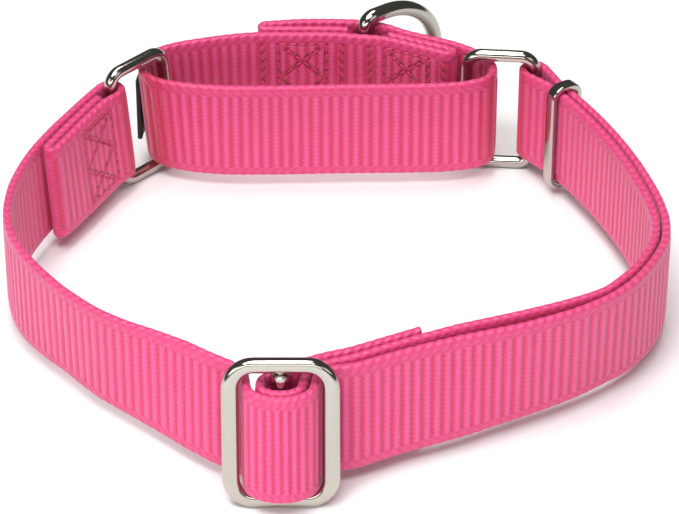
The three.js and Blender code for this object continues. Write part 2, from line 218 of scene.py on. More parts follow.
def webbing(name, line, lean, pinch, painted_fold_shade_places, crowding=()):
    """Webbing standing on edge along a line, as one closed mesh with its weave laid out flat.

    Each fold listed for painted shade is (place, reach, share): there the pink is painted deeper, for
    the shade in the fold.
    """
    p = even(line, crowding)
    n = left_of(p)
    run = np.linalg.norm(np.gradient(p, axis=0), axis=1)
    turn = np.gradient(np.unwrap(np.arctan2(n[:, 1], n[:, 0]))) / run  # how tightly it bends to the left
    steps = len(p) - 1
    columns = [(z, 1, None) for z in FACE_Z] + [(None, 1, a) for a in CAP_TURNS]
    columns += [(z, -1, None) for z in reversed(FACE_Z)] + [(None, -1, a) for a in CAP_TURNS]

    bpy.ops.object.select_all(action="DESELECT")
    bpy.ops.mesh.primitive_grid_add(x_subdivisions=steps, y_subdivisions=len(columns), size=2)
    strap = bpy.context.object
    strap.name = strap.data.name = name
    mesh = strap.data
    co = np.zeros(len(mesh.vertices) * 3)
    mesh.vertices.foreach_get("co", co)
    co = co.reshape(-1, 3)
    i = np.rint((co[:, 0] + 1) / 2 * steps).astype(int)
    j = np.rint((co[:, 1] + 1) / 2 * len(columns)).astype(int)

    s_mm = i * STEP
    z_flat, z_weave, out = np.zeros(len(i)), np.zeros(len(i)), np.zeros(len(i))
    for k, (z, face, cap) in enumerate(columns + columns[:1]):
        at = j == k
        if cap is None:
            z_flat[at] = z_weave[at] = z
            out[at] = face * face_height(s_mm[at], np.full(at.sum(), float(z)))
        else:
            a = math.radians(cap)
            scallop = 0.06 * np.cos(2 * np.pi * s_mm[at] / RIB + 1)
            z_flat[at] = face * (FLAT + math.sin(a) * (1 + scallop))
            z_weave[at] = face * (FLAT + min(a, math.pi - a))
            out[at] = face * math.cos(a) * 1.02

    # Inside a tight bend, a ply stops short of the bend's centre and never folds through itself.
    to_centre = 1 / np.maximum(np.abs(turn[i]), 1e-6)
    room = np.where(np.sign(turn[i]) * out > 0, to_centre - 0.12, 9)
    out = np.sign(out) * np.minimum(np.abs(out), np.maximum(room, 0.05))

    height = z_flat * pinch(p)[i]
    tip = lean(p)[i] * height[:, None]
    co[:, :2] = (p[i] + n[i] * out[:, None] + tip + np.array(plan_shift)) * MM
    co[:, 2] = (MID_Z + height) * MM
    mesh.vertices.foreach_set("co", co.ravel())

    # Painted shade: a mask that deepens the pink at the listed folds, for the shade in them.
    fold_shade = np.zeros(len(i))
    for place, reach, share in painted_fold_shade_places:
        far = np.linalg.norm(p[i] - place, axis=1) / reach
        fold_shade = np.maximum(fold_shade, share * np.exp(-far ** 2))
    mesh.attributes.new("painted_fold_shade", "FLOAT", "POINT").data.foreach_set("value", fold_shade)

    flat = mesh.uv_layers.active
    flat.name = "weave"
    corners = np.zeros(len(mesh.loops), int)
    mesh.loops.foreach_get("vertex_index", corners)
    uv = np.stack([s_mm[corners], z_weave[corners]], 1) / 100
    flat.data.foreach_set("uv", uv.ravel())

    bpy.ops.object.mode_set(mode="EDIT")
    bpy.ops.mesh.select_all(action="SELECT")
    bpy.ops.mesh.remove_doubles(threshold=0.00001)
    bpy.ops.mesh.select_all(action="DESELECT")
    bpy.ops.mesh.select_non_manifold(extend=False)
    bpy.ops.mesh.fill_holes(sides=0)
    bpy.ops.mesh.select_all(action="SELECT")
    bpy.ops.mesh.normals_make_consistent(inside=False)
    bpy.ops.object.mode_set(mode="OBJECT")
    bpy.ops.object.shade_smooth()
    return strap, (p, n, lean(p))


LEFT_BAR = (-53.8, 50.6)  # the left ring's bar that the strap is sewn round
RIGHT_BAR = (46.8, 59.3)  # the right ring's bar that the strap runs round
D_BAR = (6.1, 77.0)
PIN = (-12.5, -66.0)
RING_WRAP = 2.9
PIN_WRAP = 2.65
CROWN_OUTER, CROWN_INNER = 7.3, 4.6  # half-widths of the two plies doubled over the pin
SEWN_TURN = 62.5
SEWN_FROM, SEWN_TO, SEWN_UNDER = 5, 28.4, 4.5  # from the bar: the plies meet, turn under, and are cut
FOLD = PITCH / 2
ARC_RING, ARC_FRONT = 33.5, 11.5
TURNED, TURNED_TURN, TURNED_LENGTH = (2.2, -53.7), 26.5, 17


def beside_bar(far, ply):
    return along(LEFT_BAR, SEWN_TURN, -far, RING_WRAP - ply * PITCH)


def over_pin(half_width, depth, start, end):
    """A ply's flattened turn in front of the pin, from one angle to another in degrees."""
    turns = [math.radians(a) for a in range(start, end + 1, 5)]
    return [Vector((PIN[0] + half_width * math.cos(a), PIN[1] - depth * math.sin(a))) for a in turns]


neck_line = [
    beside_bar(SEWN_UNDER, 1), beside_bar(SEWN_TO - 0.8, 1),
    *bend(beside_bar(SEWN_TO, 1.5), FOLD, SEWN_TURN + 90, SEWN_TURN + 270),
    beside_bar(SEWN_TO - 0.8, 2), beside_bar(SEWN_FROM, 2),
    *bend(LEFT_BAR, RING_WRAP, SEWN_TURN - 90, SEWN_TURN + 90),
    *spline([
        beside_bar(SEWN_FROM, 0), beside_bar(SEWN_TO, 0),
        (-72.6, 18.5), (-74.9, 9), (-75.3, 0), (-74, -7.5), (-71.2, -14.5), (-66.6, -21.6),
        (-60.4, -29), (-53.3, -36.7), (-46.4, -42.2), (-39.6, -47), (-33, -52), (-27, -56.6),
        (-22.6, -59.3), (-20.2, -61.7),
    ]),
    *over_pin(-CROWN_OUTER, PIN_WRAP + PITCH, 10, 170),
    *spline([
        (-4.9, -62.5), (-3.2, -60.8), (0, -59.8), (3.2, -59.1), (13.6, -54.2), (25.9, -49.1),
        (36, -44.9), (41.2, -42.6), (51.7, -37.1), (59.6, -31.5), (64.1, -27.4), (67.9, -22.3),
        (71.6, -15.2), (73.3, -9.2), (73.7, -2.5),
    ]),
    *bend(KEEPER_ARC, KEEPER_RADIUS + PITCH / 2, ARC_FRONT, ARC_RING),
    *bend(RIGHT_BAR, RING_WRAP, ARC_RING, ARC_RING + 180),
    *bend(KEEPER_ARC, KEEPER_RADIUS - PITCH / 2, ARC_RING, ARC_FRONT),
    *spline([
        (71.4, -3), (71, -8.4), (69.4, -14), (65.9, -20.8), (62.3, -25.3), (58.2, -29.3),
        (50.2, -34), (39.6, -38.9), (30.4, -43), (21.4, -47), (12.4, -51.2), (3.2, -55.9),
        (-2.6, -58.3), (-6.4, -60.7), (-7.5, -63.2),
    ]),
    *over_pin(CROWN_INNER, PIN_WRAP, -10, 190),
    *spline([
        (-16.5, -63.1), (-13.1, -60.8), (-8, -58.1), (-3.6, -56.1), TURNED,
        along(TURNED, TURNED_TURN, TURNED_LENGTH / 2), along(TURNED, TURNED_TURN, TURNED_LENGTH),
    ]),
]

# How far the front of the strap leans back, in degrees, by place from left to right.
LEAN = [
    (-72, 0), (-61, -6), (-47, 0), (-33, 11), (-27, 12), (-20, 11), (-4, 11), (2, 9), (26, 7),
    (40, 1), (59, -4), (70, 0),
]
LEFT_RING_LEAN = 4  # the left ring and the strap's sewn end tip to the left at the top


def strap_lean(p):
    """How far the strap's top moves over, in plan, for each millimetre of height."""
    places, degrees = zip(*LEAN)
    back = np.tan(np.radians(np.interp(p[:, 0], places, degrees))) * (p[:, 1] < -5)
    near_ring = np.clip((p[:, 1] - 5) / 30, 0, 1) * (p[:, 0] < 0)
    return np.stack([-math.tan(math.radians(LEFT_RING_LEAN)) * near_ring, back], 1)


def pinch_near(*bars):
    """Webbing narrows a little where it wraps a bar."""
    def pinch(p):
        near = np.min([np.hypot(p[:, 0] - x, p[:, 1] - y) / reach for (x, y), reach in bars], axis=0)
        return 1 - 0.04 * np.exp(-(near ** 2))
    return pinch


# Besides the line, lean and pinch: the folds given painted shade, and where the ribs crowd.
neck_strap, neck_run = webbing(
    "neck_strap_webbing", neck_line, strap_lean, pinch_near((LEFT_BAR, 5), (RIGHT_BAR, 5), (PIN, 8)),
    [((-50.5, 49.5), 3, 0.5), ((43.6, 59), 3.5, 0.5)],
    [((PIN[0], PIN[1] - 5), 0.42, 8)])
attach(neck_strap, "neck")
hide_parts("neck_strap")


def weave_place(run, *place):
    """How far along the weave a place is: of the plies there, the one nearest it."""
    return float(np.argmin(np.linalg.norm(run[0] - np.array(place), axis=1))) * STEP


class NodeMath:
    """Short names for the math nodes of one tree."""

    def __init__(self, tree):
        self.nodes, self.links = tree.nodes, tree.links

    def __call__(self, operation, *values, clamp=False):
        node = self.nodes.new("ShaderNodeMath")
        node.operation, node.use_clamp = operation, clamp
        for socket, value in zip(node.inputs, values):
            if isinstance(value, (int, float)):
                socket.default_value = value
            else:
                self.links.new(value, socket)
        return node.outputs[0]

    def wave(self, value, turns=1.0, shift=0.0):
        """A cosine between 0 and 1."""
        turned = self("MULTIPLY_ADD", value, 2 * math.pi * turns, shift)
        return self("MULTIPLY_ADD", self("COSINE", turned), 0.5, 0.5)

    def near(self, value, inside, outside):
        """1 up to a distance, fading to 0 at another."""
        node = self.nodes.new("ShaderNodeMapRange")
        node.inputs["From Min"].default_value, node.inputs["From Max"].default_value = inside, outside
        node.inputs["To Min"].default_value, node.inputs["To Max"].default_value = 1, 0
        self.links.new(value, node.inputs["Value"])
        return node.outputs[0]


def new_group(name, inputs, outputs):
    """A node group with its sockets, its input and output nodes and its math."""
    group = bpy.data.node_groups.new(name, "ShaderNodeTree")
    for label, kind in inputs:
        group.interface.new_socket(label, in_out="INPUT", socket_type=kind)
    for label in outputs:
        group.interface.new_socket(label, in_out="OUTPUT", socket_type="NodeSocketFloat")
    return group, group.nodes.new("NodeGroupInput"), group.nodes.new("NodeGroupOutput"), NodeMath(group)


def flat_parts(enter, m):
    """Millimetres along and across the webbing, from its flat layout."""
    split = m.nodes.new("ShaderNodeSeparateXYZ")
    m.links.new(enter.outputs["Flat"], split.inputs[0])
    return m("MULTIPLY", split.outputs["X"], 100), m("MULTIPLY", split.outputs["Y"], 100)


def weave_group():
    """The weave's masks: grooves between ribs, with zigzag sides, rib crowns for a painted highlight,
    and the braided edge.
    """
    group, enter, leave, m = new_group(
        "webbing_weave", [("Flat", "NodeSocketVector")], ["Groove", "Crown Highlight", "Braid", "Edge", "Height"])
    s, z = flat_parts(enter, m)
    wide = m("ABSOLUTE", z)
    edge = m("SUBTRACT", 1, m.near(wide, WEB_WIDTH / 2 - EDGE_BRAID, WEB_WIDTH / 2 - EDGE_BRAID + 0.4))
    middle = m("SUBTRACT", 1, edge)
    swing = m("COSINE", m("MULTIPLY", s, math.pi / RIB))
    zigzag = m("MULTIPLY", m("MULTIPLY", m("SINE", m("MULTIPLY", z, 2 * math.pi / 1.2)), swing), 0.16)
    crown = m("SUBTRACT", 1, m.wave(m("ADD", s, zigzag), 1 / RIB))
    groove = m("MULTIPLY", m("POWER", m("SUBTRACT", 1, crown), 1.6), middle)
    yarn = m("MULTIPLY", m.wave(z, 1 / 0.6), middle)
    far = m("SUBTRACT", WEB_WIDTH / 2 + 0.57, wide)
    slant = m.wave(m("MULTIPLY_ADD", far, 0.85, s), 1 / RIB)
    rows = m.wave(far, 1 / 1.35, math.pi)
    braid = m("MULTIPLY", m("MULTIPLY", slant, m("MULTIPLY_ADD", rows, 0.6, 0.4)), edge)
    height = m("ADD", m("MULTIPLY_ADD", yarn, 0.25, m("MULTIPLY", groove, -1)), braid)
    # Painted highlight: the tops of the rib crowns.
    crown_highlight = m("MULTIPLY", m("POWER", crown, 3), middle)
    masks = {"Groove": groove, "Crown Highlight": crown_highlight, "Braid": braid, "Edge": edge, "Height": height}
    for label, mask in masks.items():
        m.links.new(mask, leave.inputs[label])
    return group


def seam_group():
    """Where a box seam with two crosses in it, and a row each side, presses into the webbing: a mask for
    the dents' relief and for painted shade along the stitch lines.
    """
    group, enter, leave, m = new_group(
        "box_seam", [("Flat", "NodeSocketVector"), ("Middle", "NodeSocketFloat"),
                     ("Half Length", "NodeSocketFloat"), ("Side Row", "NodeSocketFloat")], ["Pressed"])
    s, z = flat_parts(enter, m)
    half = enter.outputs["Half Length"]
    along_s = m("ABSOLUTE", m("SUBTRACT", s, enter.outputs["Middle"]))
    wide = m("ABSOLUTE", z)
    share_s = m("DIVIDE", along_s, half)
    share_z = m("DIVIDE", m("ABSOLUTE", m("SUBTRACT", wide, 5)), 5)
    cross = m("MULTIPLY", m("ABSOLUTE", m("SUBTRACT", share_s, share_z)), 3.8)
    side = m("ABSOLUTE", m("SUBTRACT", along_s, half))
    row = m("ABSOLUTE", m("SUBTRACT", side, enter.outputs["Side Row"]))
    top = m("ABSOLUTE", m("SUBTRACT", wide, 10))
    inside = m("MULTIPLY", m("LESS_THAN", along_s, m("ADD", half, 0.4)), m("LESS_THAN", wide, 10.4))
    box = m("MULTIPLY", m.near(m("MINIMUM", cross, m("MINIMUM", side, top)), 0.3, 0.9), inside)
    rows = m("MULTIPLY", m.near(row, 0.3, 0.9), m("LESS_THAN", wide, 10.4))
    rows = m("MULTIPLY", rows, m("GREATER_THAN", along_s, half))
    stitch = m.wave(m("ADD", along_s, wide), 1 / 2.5)
    seam_dent_shade = m("MULTIPLY", m("MAXIMUM", box, rows), m("MULTIPLY_ADD", stitch, 0.55, 0.45))
    m.links.new(seam_dent_shade, leave.inputs["Pressed"])
    return group


def mix_colour(nodes, links, share, low, high):
    """A colour between two, by a mask."""
    mix = nodes.new("ShaderNodeMix")
    mix.data_type = "RGBA"
    for label, value in (("Factor", share), ("A", low), ("B", high)):
        if isinstance(value, tuple):
            mix.inputs[label].default_value = value
        else:
            links.new(value, mix.inputs[label])
    return mix.outputs["Result"]


PINK = (0.67, 0.038, 0.178, 1)
# Pale pink: random tone, and the painted highlight on rib crowns.
PALE_TONE_AND_HIGHLIGHT_PINK = (0.78, 0.1, 0.3, 1)
# Painted shade for the grooves and the gaps between braid stitches.
RECESS_SHADE_PINK = (0.57, 0.002, 0.055, 1)
# Painted shade for the tight folds.
FOLD_SHADE_PINK = (0.46, 0.001, 0.03, 1)
# Painted shade along the seams' stitch lines.
SEAM_SHADE_PINK = (0.36, 0.003, 0.035, 1)
weave_masks, seam_mask = weave_group(), seam_group()


def pink_nylon(name, seams):
    """Dyed nylon webbing. seams are (middle, half length, side row) in millimetres along the weave."""
    material, nodes, links = new_material(name)
    m = NodeMath(material.node_tree)
    flat = nodes.new("ShaderNodeUVMap")
    flat.uv_map = "weave"
    weave = nodes.new("ShaderNodeGroup")
    weave.node_tree = weave_masks
    links.new(flat.outputs["UV"], weave.inputs["Flat"])
    seam_dent_shade = 0.0
    for middle, half, row in seams:
        seam = nodes.new("ShaderNodeGroup")
        seam.node_tree = seam_mask
        links.new(flat.outputs["UV"], seam.inputs["Flat"])
        seam.inputs["Middle"].default_value = middle
        seam.inputs["Half Length"].default_value = half
        seam.inputs["Side Row"].default_value = row
        seam_dent_shade = m("MAXIMUM", seam_dent_shade, seam.outputs["Pressed"])
    stretch = nodes.new("ShaderNodeMapping")
    stretch.inputs["Scale"].default_value = (60, 9, 1)
    links.new(flat.outputs["UV"], stretch.inputs["Vector"])
    blotch = nodes.new("ShaderNodeTexNoise")
    blotch.inputs["Scale"].default_value = 1
    blotch.inputs["Detail"].default_value = 4
    links.new(stretch.outputs["Vector"], blotch.inputs["Vector"])
    body = mix_colour(nodes, links, blotch.outputs["Fac"], PINK, PALE_TONE_AND_HIGHLIGHT_PINK)
    # Painted highlight: the rib crowns turned pale.
    body = mix_colour(nodes, links, m("MULTIPLY", weave.outputs["Crown Highlight"], 0.45), body, PALE_TONE_AND_HIGHLIGHT_PINK)
    # Painted shade: the grooves between ribs and the gaps between braid stitches darkened.
    body = mix_colour(nodes, links, m("MULTIPLY", weave.outputs["Groove"], 0.75), body, RECESS_SHADE_PINK)
    between_braids = m("SUBTRACT", weave.outputs["Edge"], weave.outputs["Braid"])
    braid_gap_shade = m("MULTIPLY", between_braids, 0.45, clamp=True)
    body = mix_colour(nodes, links, braid_gap_shade, body, RECESS_SHADE_PINK)
    # Painted shade: a deeper pink at the folds listed for each strap.
    fold_shade = nodes.new("ShaderNodeAttribute")
    fold_shade.attribute_name = "painted_fold_shade"
    body = mix_colour(nodes, links, fold_shade.outputs["Fac"], body, FOLD_SHADE_PINK)
    # Painted shade: the seams' stitch lines darkened, for the shade where the thread sinks in.
    body = mix_colour(nodes, links, seam_dent_shade, body, SEAM_SHADE_PINK)
    shader = nodes["Principled BSDF"]
    links.new(body, shader.inputs["Base Color"])
    relief = nodes.new("ShaderNodeBump")
    relief.inputs["Strength"].default_value = 0.7
    relief.inputs["Distance"].default_value = 0.0002
    links.new(m("SUBTRACT", weave.outputs["Height"], m("MULTIPLY", seam_dent_shade, 3)), relief.inputs["Height"])
    links.new(relief.outputs["Normal"], shader.inputs["Normal"])
    shader.inputs["Roughness"].default_value = 0.5
    shader.inputs["Specular IOR Level"].default_value = 0.6
    shader.inputs["Sheen Weight"].default_value = 0.28
    shader.inputs["Sheen Roughness"].default_value = 0.45
    shader.inputs["Sheen Tint"].default_value = (1, 0.75, 0.85, 1)
    return material


SEWN_MIDDLE, SEWN_HALF = 11.3, 6.2  # the sewn end's seam, from the bar, and half its length
GLIDE_END_HALF = 6.0
sewn_inside = weave_place(neck_run, *beside_bar(SEWN_MIDDLE, 2))
sewn_outside = weave_place(neck_run, *beside_bar(SEWN_MIDDLE, 0))
turned_inside = weave_place(neck_run, *along(TURNED, TURNED_TURN, TURNED_LENGTH / 2))
neck_strap.data.materials.append(pink_nylon("pink_nylon_neck", [
    (sewn_inside, SEWN_HALF, 0), (sewn_outside, SEWN_HALF, 0), (turned_inside, GLIDE_END_HALF, 0),
]))

# ---- Control loop ------------------------------------------------------------------------------------
# A second length of the same webbing, closed through both rings. Its ends overlap at the back, turned
# under between the plies on either side of the leash ring's bar, which they hold.
BOX_1, BOX_1_TURN, BOX_1_LENGTH = (-19, 74.4), 0, 18
BOX_2, BOX_2_TURN, BOX_2_LENGTH = (10.2, 72.9), -24, 17.5


LEFT_FOLD = [(-46.7, 59), (-46, 63.4), (-43.2, 67.2), (-38.8, 69.8), (-33.4, 71.6), (-26.5, 73.4)]


def stack_1(far, ply):
    return along(BOX_1, BOX_1_TURN, far, ply * PITCH)


def stack_2(far, ply):
    return along(BOX_2, BOX_2_TURN, far, ply * PITCH)


loop_line = [
    stack_1(21, 1.2), stack_1(1.5, 1.2),
    *bend(stack_1(0.6, 1.7), FOLD, 270, 90),
    *spline([
        stack_1(2, 2.2), (-9.7, 80.3), (-1, 80.4), (6.4, 80.3), (11.4, 78.4),
        stack_2(4, 2), stack_2(17.5, 2), (33.6, 66), (36.3, 62.4), (37, 58.4),
        (35.3, 54.9), (31.4, 53), (25.4, 51.9), (14.5, 51.4), (2.5, 51.2), (-9.5, 50.8),
        (-19, 50.6), (-29.4, 50.8), (-38.6, 52.5), (-44, 54.9), *LEFT_FOLD,
        stack_1(0, 0), (-9, 74.4), stack_1(BOX_1_LENGTH, 0), (6.4, 73.7), stack_2(0, 0),
        stack_2(BOX_2_LENGTH - 1.5, 0),
    ]),
    *bend(stack_2(BOX_2_LENGTH, 0.5), FOLD, BOX_2_TURN - 90, BOX_2_TURN + 90),
    stack_2(BOX_2_LENGTH - 1.5, 1), stack_2(1, 1),
]


def loop_lean(p):
    """The loop stands upright, but its left fold tips with the ring."""
    tip = -math.tan(math.radians(LEFT_RING_LEAN)) * np.clip((-28 - p[:, 0]) / 14, 0, 1)
    return np.stack([tip, np.zeros(len(p))], 1)


# The last list holds the loop's folds given painted shade.
control_loop, loop_run = webbing(
    "control_loop_webbing", loop_line, loop_lean, pinch_near((D_BAR, 5)),
    [((-44.6, 55), 5, 0.7), ((36.6, 56), 3.2, 0.5)])
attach(control_loop, "loop")
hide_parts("control_loop")

BOX_1_MIDDLE, BOX_2_MIDDLE = 10.0, 7.1  # from each box's start
BOX_HALF, SIDE_ROW = 5.9, 3.8
OUTSIDE_1, OUTSIDE_2 = 2.25, 2  # plies out from the inside one
inside_1 = weave_place(loop_run, *stack_1(BOX_1_MIDDLE, 0))
outside_1 = weave_place(loop_run, *stack_1(BOX_1_MIDDLE, OUTSIDE_1))
inside_2 = weave_place(loop_run, *stack_2(BOX_2_MIDDLE, 0))
outside_2 = weave_place(loop_run, *stack_2(BOX_2_MIDDLE, OUTSIDE_2))
control_loop.data.materials.append(pink_nylon("pink_nylon_loop", [
    (middle, BOX_HALF, SIDE_ROW) for middle in (inside_1, outside_1, inside_2, outside_2)
]))

# ---- Seams -------------------------------------------------------------------------------------------
# Pink thread, drawn tight: a box with two crosses in it at each overlap, straight rows beside the boxes,
# and one row through the label. Every seam shows on both faces of the webbing.
STITCH, STITCH_GAP, THREAD = 1.7, 2.5, 0.26  # a stitch's length, the next one's start, thread radius
ROW_TOP = 10  # a seam's height above the middle of the webbing
STITCH_OUT = 0.93  # from the middle of the ply to the middle of the thread

pink_thread, nodes, links = new_material("pink_thread")
shader = nodes["Principled BSDF"]
shader.inputs["Base Color"].default_value = (0.74, 0.035, 0.16, 1)
shader.inputs["Roughness"].default_value = 0.45
shader.inputs["Sheen Weight"].default_value = 0.2


def box_rows(half, side_row=0.0):
    """The rows of a box seam, as pairs of (along, up) ends from its middle."""
    rows = [((x, -ROW_TOP), (x, ROW_TOP)) for x in (-half, half)]
    rows += [((-half, z), (half, z)) for z in (ROW_TOP, -ROW_TOP)]
    for low in (-ROW_TOP, 0):
        rows += [((-half, low), (half, low + ROW_TOP)), ((-half, low + ROW_TOP), (half, low))]
    if side_row:
        rows += [((x, -ROW_TOP), (x, ROW_TOP)) for x in (-half - side_row, half + side_row)]
    return rows


def on_webbing(run, face, s, z, out):
    """A place on a webbing's face, in the frame."""
    p, n, lean = run
    at = min(max(s / STEP, 0), len(p) - 1.001)
    i, part = int(at), at - int(at)
    middle = p[i] * (1 - part) + p[i + 1] * part
    x, y = middle + n[i] * face * out + lean[i] * z
    return in_frame(x, y, MID_Z + z)


def sew(name, body, replaced, plies, rows):
    """Stitches along rows on one or more plies, each given as (run, face, place along the weave)."""
    bpy.ops.object.select_all(action="DESELECT")
    bpy.ops.mesh.primitive_uv_sphere_add(segments=8, ring_count=6, radius=THREAD * MM)
    stitch = bpy.context.object
    one = np.array([tuple(v.co) for v in stitch.data.vertices])
    off_middle = np.abs(one[:, 2]) > 1e-7
    one[:, 2] += np.sign(one[:, 2]) * off_middle * (STITCH / 2 - THREAD) * MM
    faces = [tuple(f.vertices) for f in stitch.data.polygons]
    bpy.data.objects.remove(stitch)
    corners, all_faces = [], []
    for run, face, middle in plies:
        for (s0, z0), (s1, z1) in rows:
            length = math.hypot(s1 - s0, z1 - z0)
            count = max(1, round(length / STITCH_GAP))
            half = STITCH / 2 / length
            for k in range(count):
                ends = []
                for t in ((k + 0.5) / count - half, (k + 0.5) / count + half):
                    s_at, z_at = middle + s0 + (s1 - s0) * t, z0 + (z1 - z0) * t
                    ends.append(on_webbing(run, face, s_at, z_at, STITCH_OUT))
                way = ends[1] - ends[0]
                turn = np.array(way.to_track_quat("Z", "Y").to_matrix())
                start = len(corners)
                corners.extend(map(tuple, one @ turn.T + np.array((ends[0] + ends[1]) / 2)))
                all_faces.extend(tuple(v + start for v in f) for f in faces)
    mesh = bpy.data.meshes.new(name)
    mesh.from_pydata(corners, [], all_faces)
    seam = bpy.data.objects.new(name, mesh)
    bpy.context.collection.objects.link(seam)
    mesh.materials.append(pink_thread)
    mesh.shade_smooth()
    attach(seam, body)
    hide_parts(replaced)


sew("sewn_end_stitches", "neck", "strap_end_seam",
    [(neck_run, -1, sewn_inside), (neck_run, -1, sewn_outside)], box_rows(SEWN_HALF))
sew("glide_end_stitches", "neck", "glide_end_seam",
    [(neck_run, -1, turned_inside)], box_rows(GLIDE_END_HALF))

plies_1 = [(loop_run, -1, inside_1), (loop_run, 1, outside_1)]
plies_2 = [(loop_run, -1, inside_2), (loop_run, 1, outside_2)]
sew("loop_box_left_stitches", "loop", "loop_box_left", plies_1, box_rows(BOX_HALF))
sew("loop_box_right_stitches", "loop", "loop_box_right", plies_2, box_rows(BOX_HALF))
for name, replaced, plies, far in (
    ("loop_end_tack_stitches", "loop_end_tack", plies_1[:1], -BOX_HALF - SIDE_ROW),
    ("d_ring_tack_stitches", "d_ring_tack", plies_1[:1], BOX_HALF + SIDE_ROW),
    ("loop_turn_tack_stitches", "loop_turn_tack", plies_2[:1], BOX_HALF + SIDE_ROW),
):
    sew(name, "loop", replaced, plies, [((far, -ROW_TOP), (far, ROW_TOP))])
label_row = weave_place(loop_run, -32, 71.9)
sew("label_stitches", "loop", "label_seam", [(loop_run, -1, label_row)], [((0, -8.5), (0, 8.5))])

# ---- Label -------------------------------------------------------------------------------------------
# A blank soft black rubber label, sewn to the outside of the loop round the back of its left fold.
LABEL_LENGTH, LABEL_HEIGHT, LABEL_THICK = 22, 17, 1.2

label_line = even(spline(LEFT_FOLD))
label_line = label_line[:round(LABEL_LENGTH / STEP)]
label_out = left_of(label_line) * (FOLD + 0.15 + LABEL_THICK / 2)


def face_outwards():
    """Turn the faces of the piece being made outwards."""
    bpy.ops.object.mode_set(mode="EDIT")
    bpy.ops.mesh.select_all(action="SELECT")
    bpy.ops.mesh.normals_make_consistent(inside=False)
    bpy.ops.object.mode_set(mode="OBJECT")


bpy.ops.object.select_all(action="DESELECT")
bpy.ops.mesh.primitive_grid_add(x_subdivisions=len(label_line) - 1, y_subdivisions=1, size=2)
label = bpy.context.object
label.name = label.data.name = "blank_label"
for v in label.data.vertices:
    at = round((v.co.x + 1) / 2 * (len(label_line) - 1))
    x, y = label_line[at] + label_out[at]
    v.co = in_frame(x, y, MID_Z + v.co.y * LABEL_HEIGHT / 2)
solid = label.modifiers.new("thickness", "SOLIDIFY")
solid.thickness, solid.offset = LABEL_THICK * MM, 0
bpy.ops.object.modifier_apply(modifier=solid.name)
soften = label.modifiers.new("soft_edges", "BEVEL")
soften.width, soften.segments, soften.limit_method = 0.4 * MM, 3, "ANGLE"
soften.angle_limit = math.radians(50)
bpy.ops.object.modifier_apply(modifier=soften.name)
face_outwards()
bpy.ops.object.shade_smooth_by_angle(angle=math.radians(40))
rubber, nodes, links = new_material("black_rubber")
nodes["Principled BSDF"].inputs["Base Color"].default_value = (0.012, 0.012, 0.013, 1)
nodes["Principled BSDF"].inputs["Roughness"].default_value = 0.55
label.data.materials.append(rubber)
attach(label, "loop")
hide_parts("label")

# ---- Left ring ---------------------------------------------------------------------------------------
# A rectangular ring of round nickel-plated wire. The neck strap's sewn end holds one upright, and the
# control loop runs through round the other.
RING_WIRE, RING_LENGTH, RING_HEIGHT, RING_CORNER = 3.0, 16.2, 33.6, 5.0

nickel, nodes, links = new_material("polished_nickel")
shader = nodes["Principled BSDF"]
shader.inputs["Base Color"].default_value = (0.48, 0.455, 0.405, 1)
shader.inputs["Metallic"].default_value = 1
shader.inputs["Roughness"].default_value = 0.13


def bend_wire(name, radius, moves):
    """A closed bar of round wire in the XZ plane, drawn up from the origin by straights and bends."""
    bpy.ops.object.select_all(action="DESELECT")
    bpy.ops.mesh.primitive_circle_add(vertices=24, radius=radius * MM)
    wire = bpy.context.object
    wire.name = wire.data.name = name
    place, heading = Vector((0, 0, 0)), 0.0
    bpy.ops.object.mode_set(mode="EDIT")
    bpy.ops.mesh.select_all(action="SELECT")
    for kind, *sizes in moves:
        way = Vector((math.sin(heading), 0, math.cos(heading)))
        if kind == "straight":
            step = way * sizes[0] * MM
            bpy.ops.mesh.extrude_region_move(TRANSFORM_OT_translate={"value": step})
            place += step
        else:
            degrees, bend_radius = sizes
            across = Vector((math.cos(heading), 0, -math.sin(heading))) * bend_radius * MM
            centre = place + across
            bpy.ops.mesh.spin(
                steps=max(6, degrees // 6), angle=-math.radians(degrees), center=centre, axis=(0, 1, 0))
            heading += math.radians(degrees)
            place = centre - Vector((math.cos(heading), 0, -math.sin(heading))) * bend_radius * MM
    bpy.ops.mesh.select_all(action="SELECT")
    bpy.ops.mesh.remove_doubles(threshold=0.00002)
    bpy.ops.mesh.normals_make_consistent(inside=False)
    bpy.ops.object.mode_set(mode="OBJECT")
    bpy.ops.object.shade_smooth()
    return wire


def set_down(piece, body, replaced, x, y, z, turn, back=0.0, left=0.0):
    """Turn a finished fitting in plan, tip its top back or to the left, and put it in its place."""
    piece.data.transform(
        Matrix.Translation(in_frame(x, y, z)) @ Matrix.Rotation(math.radians(-back), 4, "X")
        @ Matrix.Rotation(math.radians(-left), 4, "Y") @ Matrix.Rotation(math.radians(turn), 4, "Z"))
    piece.data.materials.append(nickel)
    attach(piece, body)
    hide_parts(replaced)


def rectangular_ring(name):
    up = RING_HEIGHT / 2 - RING_WIRE / 2
    bow = RING_CORNER - RING_WIRE / 2
    corner = ("bend", 90, bow)
    over, down = ("straight", RING_LENGTH - 2 * bow), ("straight", 2 * (up - bow))
    half = ("straight", up - bow)
    return bend_wire(name, RING_WIRE / 2, [half, corner, over, corner, down, corner, over, corner, half])


set_down(
    rectangular_ring("left_wire_ring"), "left_ring", "left_ring", *LEFT_BAR, RING_HEIGHT / 2, 42,
    left=LEFT_RING_LEAN)

# ---- Right ring --------------------------------------------------------------------------------------
# The same ring, which the neck strap's doubled side and the loop's right end both run freely round.
set_down(
    rectangular_ring("right_wire_ring"), "right_ring", "right_ring", *RIGHT_BAR, RING_HEIGHT / 2, 175.4)

